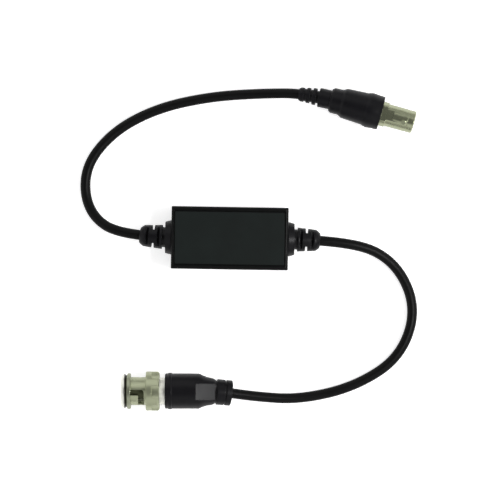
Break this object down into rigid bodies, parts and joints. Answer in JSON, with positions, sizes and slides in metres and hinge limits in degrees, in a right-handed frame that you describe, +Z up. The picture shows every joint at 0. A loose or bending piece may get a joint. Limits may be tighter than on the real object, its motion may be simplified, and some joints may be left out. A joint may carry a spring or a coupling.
{
  "type": "video surge protector",
  "caption": "In-line surge protector for a coaxial video line: sealed black box with a short lead to a bayonet plug and another to a bayonet jack.",
  "frame": {"origin": "centre of the box's underside", "axes": "+X along the box towards the plug's lead, +Y across it towards the jack, +Z up"},
  "size_m": [0.1451, 0.1389, 0.017],
  "materials": {
    "housing_plastic": "black moulded ABS, fine texture",
    "panel_film": "matt black panel, fine texture",
    "moulded_pvc": "soft black moulded PVC, satin",
    "lead_jacket": "black PVC jacket, soft gloss",
    "board_laminate": "green solder mask",
    "tube_ceramic": "bare ceramic",
    "tinned_metal": "bright tinned",
    "resistor_body": "lacquered",
    "diode_body": "moulded epoxy",
    "solder": "bright",
    "core_foam": "white polyethylene",
    "copper": "bare copper",
    "nickel_plate": "bright nickel plate on brass",
    "spring_steel": "bright",
    "gasket_rubber": "red-brown silicone",
    "gold_plate": "gold plate on brass",
    "white_insulator": "white plastic"
  },
  "bodies": {
    "protector": {"braid_tails": "copper", "circuit_board": "board_laminate", "clamp_diodes": "diode_body", "component_legs": "tinned_metal", "core_insulation": "core_foam", "core_wires": "copper", "gas_tube": "tube_ceramic", "gas_tube_caps": "tinned_metal", "housing_bottom": "housing_plastic", "housing_top": "housing_plastic", "jack_body": "nickel_plate", "jack_boot": "moulded_pvc", "jack_contact": "gold_plate", "jack_core_insulation": "core_foam", "jack_core_wire": "copper", "jack_ferrule": "nickel_plate", "jack_insulator": "white_insulator", "left_lead": "lead_jacket", "left_relief": "moulded_pvc", "line_resistor": "resistor_body", "plug_body": "nickel_plate", "plug_boot": "moulded_pvc", "plug_core_insulation": "core_foam", "plug_core_wire": "copper", "plug_ferrule": "nickel_plate", "plug_gasket": "gasket_rubber", "plug_insulator": "white_insulator", "plug_pin": "gold_plate", "right_lead": "lead_jacket", "right_relief": "moulded_pvc", "solder_joints": "solder", "spring_washers": "spring_steel", "top_panel": "panel_film"},
    "nut_carriage": {"nut_ring": "spring_steel"},
    "nut": {"coupling_nut": "nickel_plate"}
  },
  "joints": [
    {"name": "nut_slide", "type": "slide", "parent": "protector", "child": "nut_carriage", "axis": [-0.9999, -0.0157, 0], "range_m": [0, 0.0008], "stiffness_N_per_m": 1500, "springref_m": -0.0002, "deforming": ["spring_washers"]},
    {"name": "nut_turn", "type": "hinge", "parent": "nut_carriage", "child": "nut", "pos_m": [-0.04505, -0.06571, 0.0084], "axis": [0.9999, 0.0157, 0], "continuous": true}
  ]
}
